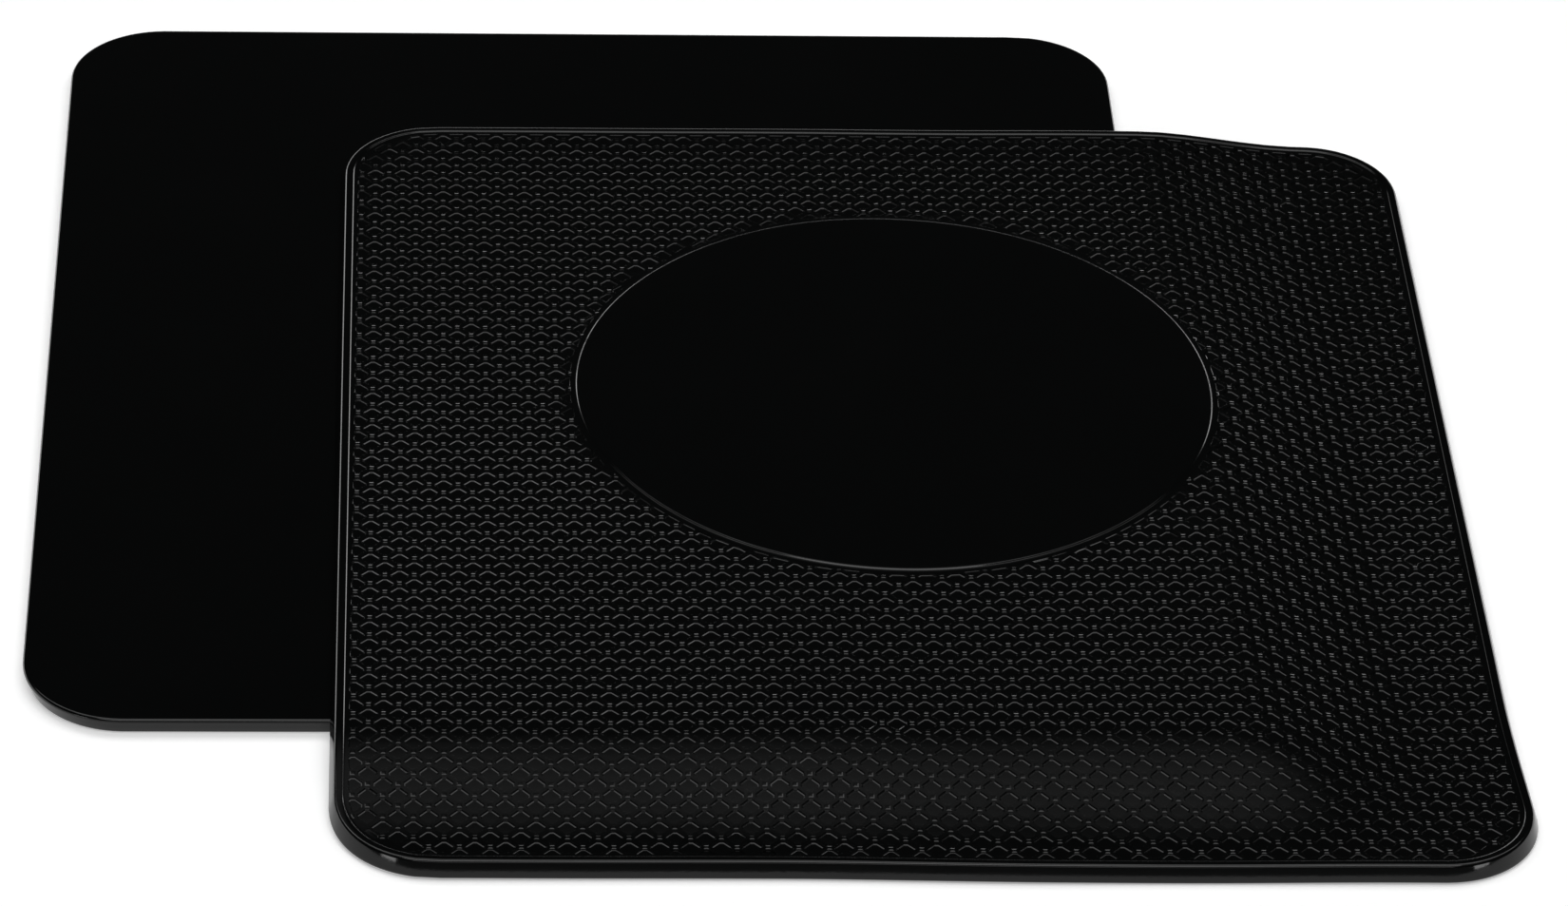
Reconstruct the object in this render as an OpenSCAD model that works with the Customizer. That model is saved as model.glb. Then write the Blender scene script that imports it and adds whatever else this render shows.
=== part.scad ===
// A pair of identical moulded non-slip rubber mats, laid one on the other.
// Each mat is a single moulding: a plain smooth back, and a face with a flat rim,
// a textured field one step down, and a smooth round pad.
// The lower mat lies face down. The upper one lies face up across it, shifted to
// the right and to the front, and its overhang sags down to the table.

/* [Mat] */
// Width of one mat, side to side, across its back
mat_w = 190; // [150:1:240]
// Depth of one mat, front to back, across its back
mat_d = 216; // [180:1:260]
// Thickness of one mat, from its back to its rim
mat_t = 3; // [2:0.1:5]
// Radius of the outline's four corners
corner_r = 17; // [12:1:30]
// How far the sides lean in between the back and the face
flank_in = 1.1; // [0.5:0.05:2]

/* [Face] */
// Width of the flat rim round the textured field
rim_w = 1.5; // [1:0.05:4]
// Step from the rim and the pad down to the field
field_step = 0.2; // [0.1:0.05:0.4]
// Diameter of the smooth round pad
pad_dia = 108; // [60:1:110]
// Distance of the pad's centre behind the mat's centre
pad_back = 22.5; // [0:1:28]

/* [Lay] */
// How far the upper mat lies to the right of the lower one
lay_right = 49.5; // [10:0.5:70]
// How far the upper mat lies in front of the lower one
lay_front = 38; // [10:0.5:70]
// Distance from the lower mat's edge to where the overhang starts to sag
sag_start = 3; // [1:0.5:6]
// Distance over which the overhang sags from the lower mat to the table
sag_len = 31; // [15:1:40]
// Gap between the mats, and between the overhang and the table
lay_gap = 0.15; // [0.1:0.05:0.3]

/* [Hidden] */

// Fineness of true arcs
$fn = 96;
// A little extra on cutting shapes
slack = 1;

// Inset of the field's edge from the outline of the back
field_in = flank_in + rim_w;
// Plan width of the bevel at the foot of each step on the draped mat
step_bevel = 0.2;
pad_r = pad_dia / 2;
pad_centre = [0, pad_back];

// Draped mat: segments of each corner, of each straight side, and of the spans
// from the pad's centre to its edge and from there to the rim
arc_steps = 5;
side_steps = 17;
pad_rings = 5;
field_rings = 12;

black_rubber = [0.05, 0.055, 0.055];

// ---- Lower mat: flat and face down ----

// The mat's solid without its field, widest at the top
module mat_blank() {
    mirrored_side = [-1, 1];
    rotate([90, 0, 0])
        translate([0, 0, corner_r - mat_d / 2])
            linear_extrude(mat_d - 2 * corner_r) mat_section(mat_w);
    rotate([90, 0, 90])
        translate([0, 0, corner_r - mat_w / 2])
            linear_extrude(mat_w - 2 * corner_r) mat_section(mat_d);
    for (sx = mirrored_side, sy = mirrored_side)
        translate([sx * (mat_w / 2 - corner_r), sy * (mat_d / 2 - corner_r), 0])
            cylinder(h = mat_t, r1 = corner_r - flank_in, r2 = corner_r);
}

// Upright section across a mat of this size, with both leaning flanks
module mat_section(size) {
    polygon([
        [flank_in - size / 2, 0],
        [size / 2 - flank_in, 0],
        [size / 2, mat_t],
        [-size / 2, mat_t]
    ]);
}

// The mat's outline moved in by inset
module outline_inset(inset) {
    square([mat_w - 2 * inset, mat_d - 2 * corner_r], center = true);
    square([mat_w - 2 * corner_r, mat_d - 2 * inset], center = true);
    for (sx = [-1, 1], sy = [-1, 1])
        translate([sx * (mat_w / 2 - corner_r), sy * (mat_d / 2 - corner_r)])
            circle(r = corner_r - inset);
}

// The textured field: everything inside the rim except the round pad
module field_plan() {
    difference() {
        outline_inset(field_in);
        translate(pad_centre) circle(r = pad_r);
    }
}

module lower_mat() {
    color(black_rubber)
        difference() {
            mat_blank();
            translate([0, 0, -slack]) linear_extrude(slack + field_step) field_plan();
        }
}

// ---- Upper mat: face up and draped ----

// Share of the drop at distance u past the lower mat's edge: a smooth S from 0 to 1
function sag(u) = let (s = min(max((u - sag_start) / sag_len, 0), 1)) s * s * (3 - 2 * s);

// Height of the draped mat's back above the table, at a place on the mat
function lie_z(p) =
    let (past_side = p.x + lay_right - mat_w / 2, past_front = lay_front - p.y - mat_d / 2)
    lay_gap + mat_t * (1 - sag(past_side)) * (1 - sag(past_front));

// The outline moved in by inset, as points that run round it from the right side
function outline_points(inset) = [
    for (k = [0:3])
        let (here = corner_arc(k, inset), next = corner_arc((k + 1) % 4, inset)[0])
            each concat(here, side_points(here[arc_steps], next))
];

function corner_arc(k, inset) =
    let (
        centre_x = (k == 0 || k == 3 ? 1 : -1) * (mat_w / 2 - corner_r),
        centre_y = (k < 2 ? 1 : -1) * (mat_d / 2 - corner_r)
    )
    [
        for (j = [0:arc_steps])
            let (a = 90 * (k + j / arc_steps))
                [centre_x + (corner_r - inset) * cos(a), centre_y + (corner_r - inset) * sin(a)]
    ];

function side_points(from, to) =
    [for (j = [1:side_steps - 1]) from + (to - from) * j / side_steps];

// A circle round the pad's centre, with one point towards each point of the outline
function pad_points(r) = [
    for (p = outline_points(field_in))
        let (d = p - pad_centre) pad_centre + d * r / norm(d)
];

// Radius of ring k on the pad: the rings stand closer together towards its edge
function pad_ring_r(k) = pad_r * sqrt(k / pad_rings);

// A ring part of the way from one ring to another
function between(a, b, share) = [for (i = [0:len(a) - 1]) a[i] + (b[i] - a[i]) * share];

// A flat ring laid over the lower mat, at height h above the draped back
function laid(ring, h) = [
    for (p = ring) [p.x + lay_right, p.y - lay_front, lie_z(p) + h]
];

module upper_mat() {
    face_z = mat_t;
    field_z = mat_t - field_step;
    pad_foot = pad_points(pad_r + step_bevel);
    field_edge = outline_points(field_in + step_bevel);

    face_rings = [
        for (k = [1:pad_rings]) laid(pad_points(pad_ring_r(k)), face_z),
        for (k = [0:field_rings]) laid(between(pad_foot, field_edge, k / field_rings), field_z),
        laid(outline_points(field_in), face_z),
        laid(outline_points(flank_in), face_z)
    ];
    back_rings = [
        laid(outline_points(0), 0),
        for (k = [field_rings:-1:0]) laid(between(pad_foot, field_edge, k / field_rings), 0),
        for (k = [pad_rings - 1:-1:1]) laid(pad_points(pad_ring_r(k)), 0)
    ];
    rings = concat(face_rings, back_rings);

    count = len(rings[0]);
    last = len(rings) - 1;
    face_centre = count * len(rings);
    back_centre = face_centre + 1;
    points = concat(
        [for (ring = rings) each ring],
        laid([pad_centre], face_z),
        laid([pad_centre], 0)
    );
    faces = [
        for (i = [0:count - 1])
            let (n = (i + 1) % count) each concat(
                [[face_centre, n, i]],
                [[back_centre, last * count + i, last * count + n]],
                [
                    for (k = [0:last - 1])
                        let (a = k * count, b = a + count)
                            each [[a + i, a + n, b + n], [a + i, b + n, b + i]]
                ]
            )
    ];
    color(black_rubber) polyhedron(points, faces);
}

lower_mat();
upper_mat();
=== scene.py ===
import math

import bmesh
import bpy
from mathutils import Matrix, Vector


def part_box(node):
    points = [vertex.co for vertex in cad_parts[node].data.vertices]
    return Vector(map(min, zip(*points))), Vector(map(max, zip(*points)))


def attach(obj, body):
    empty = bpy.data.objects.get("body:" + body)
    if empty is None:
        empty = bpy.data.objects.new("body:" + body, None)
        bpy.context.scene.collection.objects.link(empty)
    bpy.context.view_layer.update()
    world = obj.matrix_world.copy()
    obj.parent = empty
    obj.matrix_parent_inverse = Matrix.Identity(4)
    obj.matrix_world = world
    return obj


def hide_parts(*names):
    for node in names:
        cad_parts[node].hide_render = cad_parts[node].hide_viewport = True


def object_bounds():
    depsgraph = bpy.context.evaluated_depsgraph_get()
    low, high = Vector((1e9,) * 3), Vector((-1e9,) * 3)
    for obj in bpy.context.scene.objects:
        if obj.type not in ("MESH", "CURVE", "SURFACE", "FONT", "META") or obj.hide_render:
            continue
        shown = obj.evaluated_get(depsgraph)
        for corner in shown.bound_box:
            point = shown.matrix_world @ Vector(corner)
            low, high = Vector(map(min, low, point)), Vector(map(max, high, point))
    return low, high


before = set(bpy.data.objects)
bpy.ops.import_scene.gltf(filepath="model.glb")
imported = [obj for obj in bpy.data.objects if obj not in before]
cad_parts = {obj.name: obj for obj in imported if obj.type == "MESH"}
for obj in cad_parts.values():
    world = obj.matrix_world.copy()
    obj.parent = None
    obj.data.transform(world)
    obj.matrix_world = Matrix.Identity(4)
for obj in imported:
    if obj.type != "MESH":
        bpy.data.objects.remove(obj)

cad_low, cad_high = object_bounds()


# ---- Lower mat ----
# One compression moulding of soft black rubber: plain on its back, and on its face
# a flat rim, a field of small diamond pits between ribs, and a smooth round pad.
# It lies face down, so only its plain back and its leaning sides show.

mm = 0.001

lower_low, lower_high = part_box("lower_mat")
mat_w = lower_high.x - lower_low.x
mat_d = lower_high.y - lower_low.y
mat_t = lower_high.z - lower_low.z
corner_r = 17 * mm
flank_in = 1.1 * mm
rim_w = 1.5 * mm
pad_r = 54 * mm
pad_centre = Vector((0, 22.5 * mm, 0))

# The field lies one step below the rim and the pad, with a plain margin to each
field_step = 0.2 * mm
step_w = 0.3 * mm
rim_margin = 0.4 * mm
pad_margin = 0.8 * mm
texture_in = flank_in + rim_w + rim_margin
texture_r = pad_r + step_w + pad_margin

# Ribs at 45 degrees: distance from rib to rib, and the round knob at each crossing
rib_pitch = 3.39 * mm
knob_reach = 0.6 * mm
knob_rise = 0.052 * mm
knob_top_share = 0.55
# Each pit as rings: share of the way in from the rib's middle line, and depth
pit_rings = ((0.21, 0), (0.255, 0.26 * mm), (0.35, 0.328 * mm))
pit_bump = 0.02 * mm
smallest_pit = 0.5 * mm

# Roundness of the two edges of the side
top_edge_r = 0.6 * mm
back_edge_r = 0.5 * mm

# Rings that keep the flat top of the pad and the flat back clear of the rounded edges
pad_ring_in = 0.5 * mm
back_ring_in = 1.5 * mm
# Longest straight stretch of the texture's curved edges, before they are divided
longest_chord = 1 * mm


def past_outline(place, inset):
    """Distance of a place outside the mat's outline moved in by inset, negative inside it."""
    over_x = abs(place.x) - (mat_w / 2 - corner_r)
    over_y = abs(place.y) - (mat_d / 2 - corner_r)
    round_part = math.hypot(max(over_x, 0), max(over_y, 0))
    return round_part + min(max(over_x, over_y), 0) - (corner_r - inset)


def past_texture(place):
    """Distance of a place outside the texture: over its outer edge or inside its round gap."""
    from_pad = (place.xy - pad_centre.xy).length
    return max(past_outline(place, texture_in), texture_r - from_pad)


def slope_of(distance, place):
    """Direction in which a distance grows fastest at a place."""
    reach = 0.01 * mm
    along_x = distance(place + Vector((reach, 0, 0))) - distance(place - Vector((reach, 0, 0)))
    along_y = distance(place + Vector((0, reach, 0))) - distance(place - Vector((0, reach, 0)))
    return Vector((along_x, along_y, 0)).normalized()


def settle_on_edge(corner):
    """Moves a corner of the sheet on to the texture's edge."""
    for _ in range(3):
        corner.co -= past_texture(corner.co) * slope_of(past_texture, corner.co)


def crossing_share(edge):
    """How far along an edge the texture's edge crosses it."""
    start = edge.verts[0].co
    end = edge.verts[1].co
    sign = 1 if past_texture(start) < 0 else -1
    low = 0.0
    high = 1.0
    halvings = 24
    for _ in range(halvings):
        middle = (low + high) / 2
        if past_texture(start.lerp(end, middle)) * sign < 0:
            low = middle
        else:
            high = middle
    return (low + high) / 2


def trimmed_lattice():
    """A flat lattice of squares turned 45 degrees, cut to the texture's outline."""
    sheet = bmesh.new()
    half_count = math.ceil(math.hypot(mat_w, mat_d) / 2 / rib_pitch)
    bmesh.ops.create_grid(
        sheet, x_segments=2 * half_count, y_segments=2 * half_count,
        size=half_count * rib_pitch, matrix=Matrix.Rotation(math.radians(45), 4, "Z"),
    )
    far = [v for v in sheet.verts if past_texture(v.co) > 2 * rib_pitch]
    bmesh.ops.delete(sheet, geom=far, context="VERTS")

    nearly_on = 0.3 * mm
    on_edge = [v for v in sheet.verts if abs(past_texture(v.co)) < nearly_on]
    for corner in on_edge:
        settle_on_edge(corner)
    for edge in list(sheet.edges):
        a, b = edge.verts
        if a in on_edge or b in on_edge or past_texture(a.co) * past_texture(b.co) > 0:
            continue
        on_edge.append(bmesh.utils.edge_split(edge, a, crossing_share(edge))[1])
    bmesh.ops.connect_verts(sheet, verts=on_edge)
    outside = [f for f in sheet.faces if past_texture(f.calc_center_median()) > 0]
    bmesh.ops.delete(sheet, geom=outside, context="FACES")
    return sheet


def shrink_and_lift(face, share, lift):
    """Draws a face's corners in towards its middle and moves them up."""
    middle = face.calc_center_median()
    for corner in face.verts:
        corner.co = middle + (corner.co - middle) * share + Vector((0, 0, lift))


def raise_knobs(sheet):
    """Cuts a small diamond at each whole crossing and raises it as a knob."""
    crossings = [
        v for v in sheet.verts
        if len(v.link_edges) == 4 and min(e.calc_length() for e in v.link_edges) > 2 * knob_reach
    ]
    knobs = bmesh.ops.bevel(
        sheet, geom=crossings, offset=knob_reach, segments=1, profile=0.5,
        affect="VERTICES", material=-1, clamp_overlap=False,
    )["faces"]
    cells = set(sheet.faces) - set(knobs)
    tops = bmesh.ops.extrude_discrete_faces(sheet, faces=knobs)["faces"]
    for top in tops:
        shrink_and_lift(top, knob_top_share, knob_rise)
    return cells


def sink_pits(sheet, cells):
    """Sinks a pit in every cell that has room for one, shallower where the cell is cut short."""
    half_pitch = rib_pitch / 2
    faces = []
    reaches = []
    for cell in cells:
        middle = cell.calc_center_median()
        reach = min(
            ((e.verts[0].co - middle).cross(e.verts[1].co - middle)).length / e.calc_length()
            for e in cell.edges
        )
        if reach > smallest_pit:
            faces.append(cell)
            reaches.append(min(reach / half_pitch, 1))
    share_before = 1
    depth_before = 0
    for inward, depth in pit_rings:
        faces = bmesh.ops.extrude_discrete_faces(sheet, faces=faces)["faces"]
        for face, reach in zip(faces, reaches):
            share = (1 - inward) / share_before
            shrink_and_lift(face, share, (depth_before - depth) * reach)
        share_before = 1 - inward
        depth_before = depth
    bmesh.ops.poke(sheet, faces=faces, offset=pit_bump, center_mode="MEAN")


def drawn_out(sheet, loop, placing):
    """Extrudes a loop of edges, puts the new corners where placing says, gives the new loop."""
    made = bmesh.ops.extrude_edge_only(sheet, edges=loop)["geom"]
    corners = {g for g in made if isinstance(g, bmesh.types.BMVert)}
    for corner in corners:
        corner.co = placing(corner.co)
    return [
        g for g in made
        if isinstance(g, bmesh.types.BMEdge) and g.verts[0] in corners and g.verts[1] in corners
    ]


def at_inset(inset, height):
    """Placing on the outline moved in by inset, at a height above the mat's back."""
    def placing(place):
        out = slope_of(lambda p: past_outline(p, 0), place)
        moved = place - out * (past_outline(place, 0) + inset)
        return Vector((moved.x, moved.y, height))
    return placing


def at_radius(radius, height):
    """Placing on a circle round the pad's middle, at a height above the mat's back."""
    def placing(place):
        moved = pad_centre + (place.xy - pad_centre.xy).to_3d().normalized() * radius
        return Vector((moved.x, moved.y, height))
    return placing


def smooth_step(share):
    return share * share * (3 - 2 * share)


def moulded_mat(cuts_x, cuts_y):
    """The mat's closed skin, lying on its back round the origin; plain faces get extra cuts."""
    sheet = trimmed_lattice()
    cells = raise_knobs(sheet)
    sink_pits(sheet, cells)
    texture = set(sheet.faces)

    # The texture's edges, with corners close enough together for a smooth curve
    curved = [
        e for e in sheet.edges
        if e.is_boundary and abs(slope_of(past_texture, e.verts[0].co).x) not in (0, 1)
        and e.calc_length() > longest_chord
    ]
    added = bmesh.ops.subdivide_edges(sheet, edges=curved, cuts=2)["geom_inner"]
    for corner in (g for g in added if isinstance(g, bmesh.types.BMVert)):
        settle_on_edge(corner)

    # The lattice was made at height zero: it goes up to the level of the field
    field_z = mat_t - field_step
    bmesh.ops.translate(sheet, verts=sheet.verts, vec=(0, 0, field_z))
    edge_loops = [e for e in sheet.edges if e.is_boundary]
    well_inside = -1 * mm
    round_pad = [e for e in edge_loops if past_outline(e.verts[0].co, texture_in) < well_inside]
    round_rim = list(set(edge_loops) - set(round_pad))

    # Inwards: plain margin, step up to the pad, and its flat top
    step_rings = 5
    loop = drawn_out(sheet, round_pad, at_radius(pad_r + step_w, field_z))
    for k in range(1, step_rings + 1):
        share = k / step_rings
        rise = field_step * smooth_step(share)
        loop = drawn_out(sheet, loop, at_radius(pad_r + step_w * (1 - share), field_z + rise))
    loop = drawn_out(sheet, loop, at_radius(pad_r - pad_ring_in, mat_t))
    pad_top = bmesh.ops.edgeloop_fill(sheet, edges=loop)["faces"]

    # Outwards: plain margin, step up to the rim, round edge, leaning side, back edge
    rim_inner = flank_in + rim_w
    loop = drawn_out(sheet, round_rim, at_inset(rim_inner, field_z))
    for k in range(1, step_rings + 1):
        share = k / step_rings
        rise = field_step * smooth_step(share)
        loop = drawn_out(sheet, loop, at_inset(rim_inner - step_w * share, field_z + rise))
    lean = math.atan2(flank_in, mat_t)
    turn = math.pi / 2 - lean
    edge_in = flank_in + top_edge_r * math.tan(turn / 2)
    edge_rings = 7
    for k in range(edge_rings + 1):
        a = turn * k / edge_rings
        inset = edge_in - top_edge_r * math.sin(a)
        loop = drawn_out(sheet, loop, at_inset(inset, mat_t - top_edge_r * (1 - math.cos(a))))
    back_in = back_edge_r * math.tan((math.pi - turn) / 2)
    for k in range(edge_rings + 1):
        a = turn + (math.pi - turn) * k / edge_rings
        inset = back_in - back_edge_r * math.sin(a)
        loop = drawn_out(sheet, loop, at_inset(inset, back_edge_r * (1 + math.cos(a))))
    loop = drawn_out(sheet, loop, at_inset(back_ring_in, 0))
    back = bmesh.ops.edgeloop_fill(sheet, edges=loop)["faces"]

    # Cuts across the plain faces, where the mat has to bend
    plain = set(pad_top) | set(back)
    for axis, cuts in ((Vector((1, 0, 0)), cuts_x), (Vector((0, 1, 0)), cuts_y)):
        for place in cuts:
            geom = set(plain)
            for face in plain:
                geom.update(face.edges, face.verts)
            cut = bmesh.ops.bisect_plane(
                sheet, geom=list(geom), dist=1e-7, plane_co=axis * place, plane_no=axis)
            plain = {g for g in cut["geom"] if isinstance(g, bmesh.types.BMFace)}

    bmesh.ops.recalc_face_normals(sheet, faces=sheet.faces)
    for face in sheet.faces:
        face.smooth = True
    crease = math.radians(9)
    for face in texture:
        if face.is_valid:
            for edge in face.edges:
                if edge.calc_face_angle(0) > crease:
                    edge.smooth = False
    return sheet


def finished_piece(name, sheet, material):
    mesh = bpy.data.meshes.new(name)
    sheet.to_mesh(mesh)
    sheet.free()
    mesh.materials.append(material)
    piece = bpy.data.objects.new(name, mesh)
    bpy.context.scene.collection.objects.link(piece)
    return piece


def black_rubber():
    """Glossy black rubber: faint large smears in its gloss and a very fine skin."""
    material = bpy.data.materials.new("black_rubber")
    material.use_nodes = True
    nodes, links = material.node_tree.nodes, material.node_tree.links
    shader = nodes["Principled BSDF"]
    shader.inputs["Base Color"].default_value = (0.0012, 0.0014, 0.0014, 1)
    shader.inputs["IOR"].default_value = 1.36

    place = nodes.new("ShaderNodeTexCoord")
    smears = nodes.new("ShaderNodeTexNoise")
    smears.inputs["Scale"].default_value = 35
    smears.inputs["Detail"].default_value = 6
    smears.inputs["Roughness"].default_value = 0.65
    gloss = nodes.new("ShaderNodeMapRange")
    gloss.inputs["From Min"].default_value = 0.35
    gloss.inputs["From Max"].default_value = 0.7
    gloss.inputs["To Min"].default_value = 0.07
    gloss.inputs["To Max"].default_value = 0.12
    links.new(place.outputs["Object"], smears.inputs["Vector"])
    links.new(smears.outputs["Fac"], gloss.inputs["Value"])
    links.new(gloss.outputs["Result"], shader.inputs["Roughness"])

    skin = nodes.new("ShaderNodeTexNoise")
    skin.inputs["Scale"].default_value = 1800
    skin.inputs["Detail"].default_value = 3
    bump = nodes.new("ShaderNodeBump")
    bump.inputs["Strength"].default_value = 0.25
    bump.inputs["Distance"].default_value = 0.00002
    links.new(place.outputs["Object"], skin.inputs["Vector"])
    links.new(skin.outputs["Fac"], bump.inputs["Height"])
    worn_edges = nodes.new("ShaderNodeBevel")
    worn_edges.samples = 6
    worn_edges.inputs["Radius"].default_value = 0.000015
    links.new(worn_edges.outputs["Normal"], bump.inputs["Normal"])
    links.new(bump.outputs["Normal"], shader.inputs["Normal"])
    return material


rubber = black_rubber()
lower_sheet = moulded_mat([], [])
bmesh.ops.rotate(lower_sheet, verts=lower_sheet.verts, matrix=Matrix.Rotation(math.pi, 3, "Y"))
lower_middle = (lower_low + lower_high) / 2
lower_rest = Vector((lower_middle.x, lower_middle.y, lower_high.z))
bmesh.ops.translate(lower_sheet, verts=lower_sheet.verts, vec=lower_rest)
lower_mat = finished_piece("lower_mat_moulding", lower_sheet, rubber)
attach(lower_mat, "lower")
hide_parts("lower_mat")


# ---- Upper mat ----
# The same moulding, face up across the lower one, shifted to the right and to the front.
# The soft rubber sags off the lower mat's edges and comes to rest on the table.

upper_low, upper_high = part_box("upper_mat")
lay_gap = upper_low.z
upper_middle = (upper_low + upper_high) / 2
lay_shift = Vector((upper_middle.x, upper_middle.y, 0))
sag_start = 3 * mm
sag_len = 31 * mm

# Creep of the limp overhang: outwards at the front, and to the right at the front right
front_creep = 0.9 * mm
corner_creep = 1.5 * mm
# It fades out over this distance from the front edge, and to the left of this place
creep_fade = 45 * mm
creep_left_end = -25 * mm
# Height of each of the soft sheet's shallow waves
wave_height = 0.09 * mm


def sag(past_edge):
    """Share of the drop at a distance past the lower mat's edge: a smooth S from 0 to 1."""
    return smooth_step(min(max((past_edge - sag_start) / sag_len, 0), 1))


def laid_over(place):
    """Where a place on the mat comes to lie when the mat is draped over the lower one."""
    moved = place + lay_shift
    on_side = 1 - sag(moved.x - lower_high.x)
    on_front = 1 - sag(lower_low.y - moved.y)
    moved.z += lay_gap + mat_t * on_side * on_front
    return moved


def crept(place):
    """A place on the flat mat after the front of the overhang has crept outwards."""
    near_front = smooth_step(max(1 - (place.y + mat_d / 2) / creep_fade, 0))
    past_middle = smooth_step(min(max((place.x - creep_left_end) / creep_fade, 0), 1))
    near_side = smooth_step(max(place.x / (mat_w / 2), 0))
    return place + near_front * Vector((corner_creep * near_side, -front_creep * past_middle, 0))


def undulation(place):
    """Gentle unevenness of the soft sheet, above its level place: three long shallow waves."""
    # Length, heading in degrees, and phase of each wave
    waves = ((62 * mm, 25, 0), (83 * mm, 110, 1), (49 * mm, 160, 2))
    height = 0
    for length, heading, phase in waves:
        heading = math.radians(heading)
        along = place.x * math.cos(heading) + place.y * math.sin(heading)
        height += 0.5 + 0.5 * math.sin(2 * math.pi * along / length + phase)
    return wave_height * height


bend_steps = 10
bend_cuts = [sag_start + sag_len * k / bend_steps for k in range(bend_steps + 1)]
upper_sheet = moulded_mat(
    [lower_high.x - lay_shift.x + reach for reach in bend_cuts],
    [lower_low.y - lay_shift.y - reach for reach in bend_cuts],
)
for corner in upper_sheet.verts:
    corner.co = laid_over(crept(corner.co)) + Vector((0, 0, undulation(corner.co)))
upper_mat = finished_piece("upper_mat_moulding", upper_sheet, rubber)
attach(upper_mat, "upper")
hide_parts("upper_mat")


# ---- Table and studio ----
# A plain white table top under soft light. Nine softboxes draw the highlights: one
# overhead, two in front, and three on each side. The surroundings are pale near the
# horizon at the back, dark above that, and faintly pale overhead.

table_size = 8
table_drop = 0.02 * mm


def plain_floor():
    sheet = bmesh.new()
    bmesh.ops.create_grid(sheet, x_segments=1, y_segments=1, size=table_size)
    bmesh.ops.translate(sheet, verts=sheet.verts, vec=(0, 0, cad_low.z - table_drop))
    white = bpy.data.materials.new("white_table")
    white.use_nodes = True
    shader = white.node_tree.nodes["Principled BSDF"]
    shader.inputs["Base Color"].default_value = (0.8, 0.8, 0.8, 1)
    shader.inputs["Roughness"].default_value = 0.8
    shader.inputs["Emission Color"].default_value = (1, 1, 1, 1)
    shader.inputs["Emission Strength"].default_value = 0.35
    return finished_piece("table_top", sheet, white)


plain_floor()


def softbox(name, width, height, distance, height_angle, bearing, brightness):
    """An area light that faces the mats from a bearing and a height angle, in degrees."""
    light = bpy.data.lights.new(name, "AREA")
    light.shape = "RECTANGLE"
    light.size = width
    light.size_y = height
    light.energy = brightness * math.pi * width * height
    lamp = bpy.data.objects.new(name, light)
    up = math.radians(height_angle)
    round_z = math.radians(bearing)
    away = Vector((
        math.sin(round_z) * math.cos(up), math.cos(round_z) * math.cos(up), math.sin(up)))
    lamp.location = away * distance
    lamp.rotation_euler = away.to_track_quat("Z", "Y").to_euler()
    lamp.visible_camera = False
    bpy.context.scene.collection.objects.link(lamp)


softbox("top_softbox", width=1.1, height=0.56, distance=1.0,
        height_angle=79, bearing=0, brightness=2)
softbox("front_softbox", width=1.0, height=0.4, distance=1.2,
        height_angle=62, bearing=180, brightness=4)
softbox("low_front_softbox", width=1.0, height=0.3, distance=1.4,
        height_angle=25, bearing=180, brightness=1.4)
for side in (-1, 1):
    softbox(f"high_side_softbox_{side + 2}", width=0.4, height=0.3, distance=1.2,
            height_angle=51, bearing=50 * side, brightness=1.8)
    softbox(f"low_side_softbox_{side + 2}", width=0.7, height=0.16, distance=1.4,
            height_angle=7, bearing=42 * side, brightness=2)
    softbox(f"near_side_softbox_{side + 2}", width=0.35, height=0.13, distance=1.4,
            height_angle=4, bearing=135 * side, brightness=6)

# Brightness of the surroundings: near the horizon, above that, and overhead,
# and the share of it that is left in front
horizon_glow = 2.2
upper_glow = 0.02
ceiling_glow = 0.3
front_share = 0.05


def rise(degrees):
    """The upward part of a direction at a height angle."""
    return math.sin(math.radians(degrees))


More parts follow.
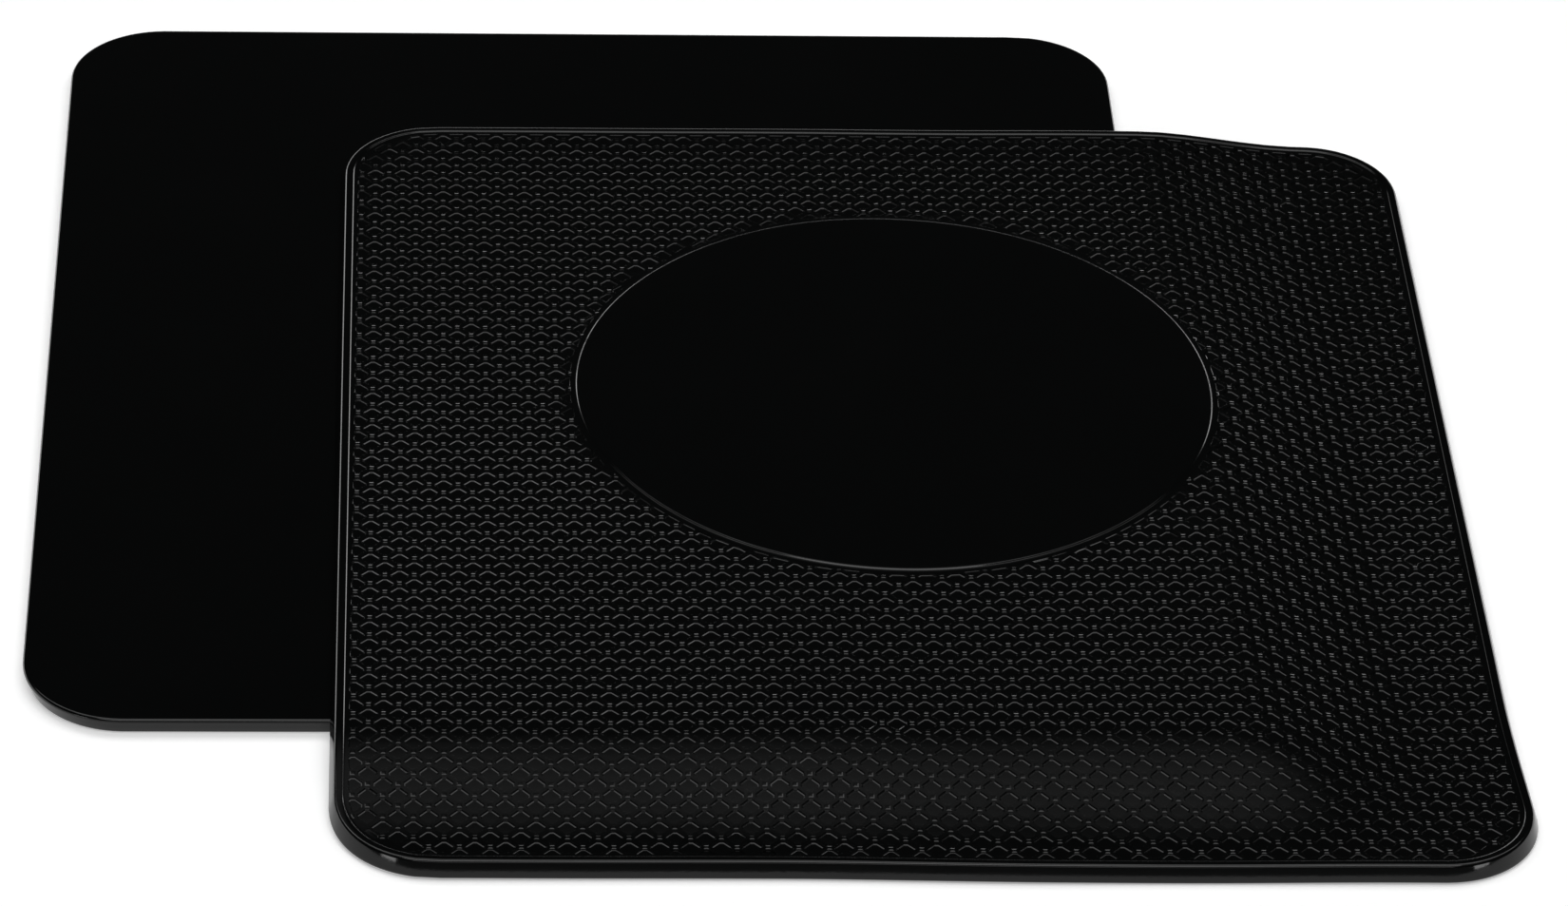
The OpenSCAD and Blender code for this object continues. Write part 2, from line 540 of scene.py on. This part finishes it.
def pale_surroundings():
    """Surroundings by direction: pale low down at the back, dark higher up and in front."""
    world = bpy.data.worlds.new("studio")
    world.use_nodes = True
    nodes, links = world.node_tree.nodes, world.node_tree.links
    direction = nodes.new("ShaderNodeTexCoord")
    parts = nodes.new("ShaderNodeSeparateXYZ")
    links.new(direction.outputs["Generated"], parts.inputs["Vector"])

    def fade(socket, start, end, from_value, to_value):
        step = nodes.new("ShaderNodeMapRange")
        step.interpolation_type = "SMOOTHSTEP"
        step.inputs["From Min"].default_value = start
        step.inputs["From Max"].default_value = end
        step.inputs["To Min"].default_value = from_value
        step.inputs["To Max"].default_value = to_value
        links.new(parts.outputs[socket], step.inputs["Value"])
        return step.outputs["Result"]

    low_down = nodes.new("ShaderNodeMath")
    low_down.operation = "MULTIPLY"
    links.new(fade("Z", rise(4), rise(17), horizon_glow, upper_glow), low_down.inputs[0])
    links.new(fade("Y", -0.3, 0.5, front_share, 1), low_down.inputs[1])
    ceiling = nodes.new("ShaderNodeMath")
    ceiling.operation = "ADD"
    links.new(low_down.outputs["Value"], ceiling.inputs[0])
    links.new(fade("Z", rise(42), rise(58), 0, ceiling_glow), ceiling.inputs[1])
    links.new(ceiling.outputs["Value"], nodes["Background"].inputs["Color"])
    bpy.context.scene.world = world


pale_surroundings()
bpy.context.scene.view_settings.view_transform = "Standard"


# ---- Camera ----
# A long lens in front of the mats and above them, turned a little, with the mats
# filling the picture.

middle = (cad_low + cad_high) / 2
aim_right = 5.7 * mm
aim_front = 7.48 * mm
aim = Vector((middle.x + aim_right, middle.y - aim_front, 0))
bearing = math.radians(-3.61)
look_down = math.radians(33.86)
roll = math.radians(2.25)
stand_off = 1.191
lens_mm = 161.4
sensor_mm = 36

camera_data = bpy.data.cameras.new("camera")
camera_data.sensor_width = sensor_mm
camera_data.lens = lens_mm
camera = bpy.data.objects.new("camera", camera_data)
bpy.context.scene.collection.objects.link(camera)
turned = (
    Matrix.Rotation(bearing, 4, "Z")
    @ Matrix.Rotation(math.pi / 2 - look_down, 4, "X")
    @ Matrix.Rotation(roll, 4, "Z")
)
back_away = turned @ Vector((0, 0, stand_off, 0))
camera.matrix_world = Matrix.Translation(aim + back_away.xyz) @ turned
bpy.context.scene.camera = camera
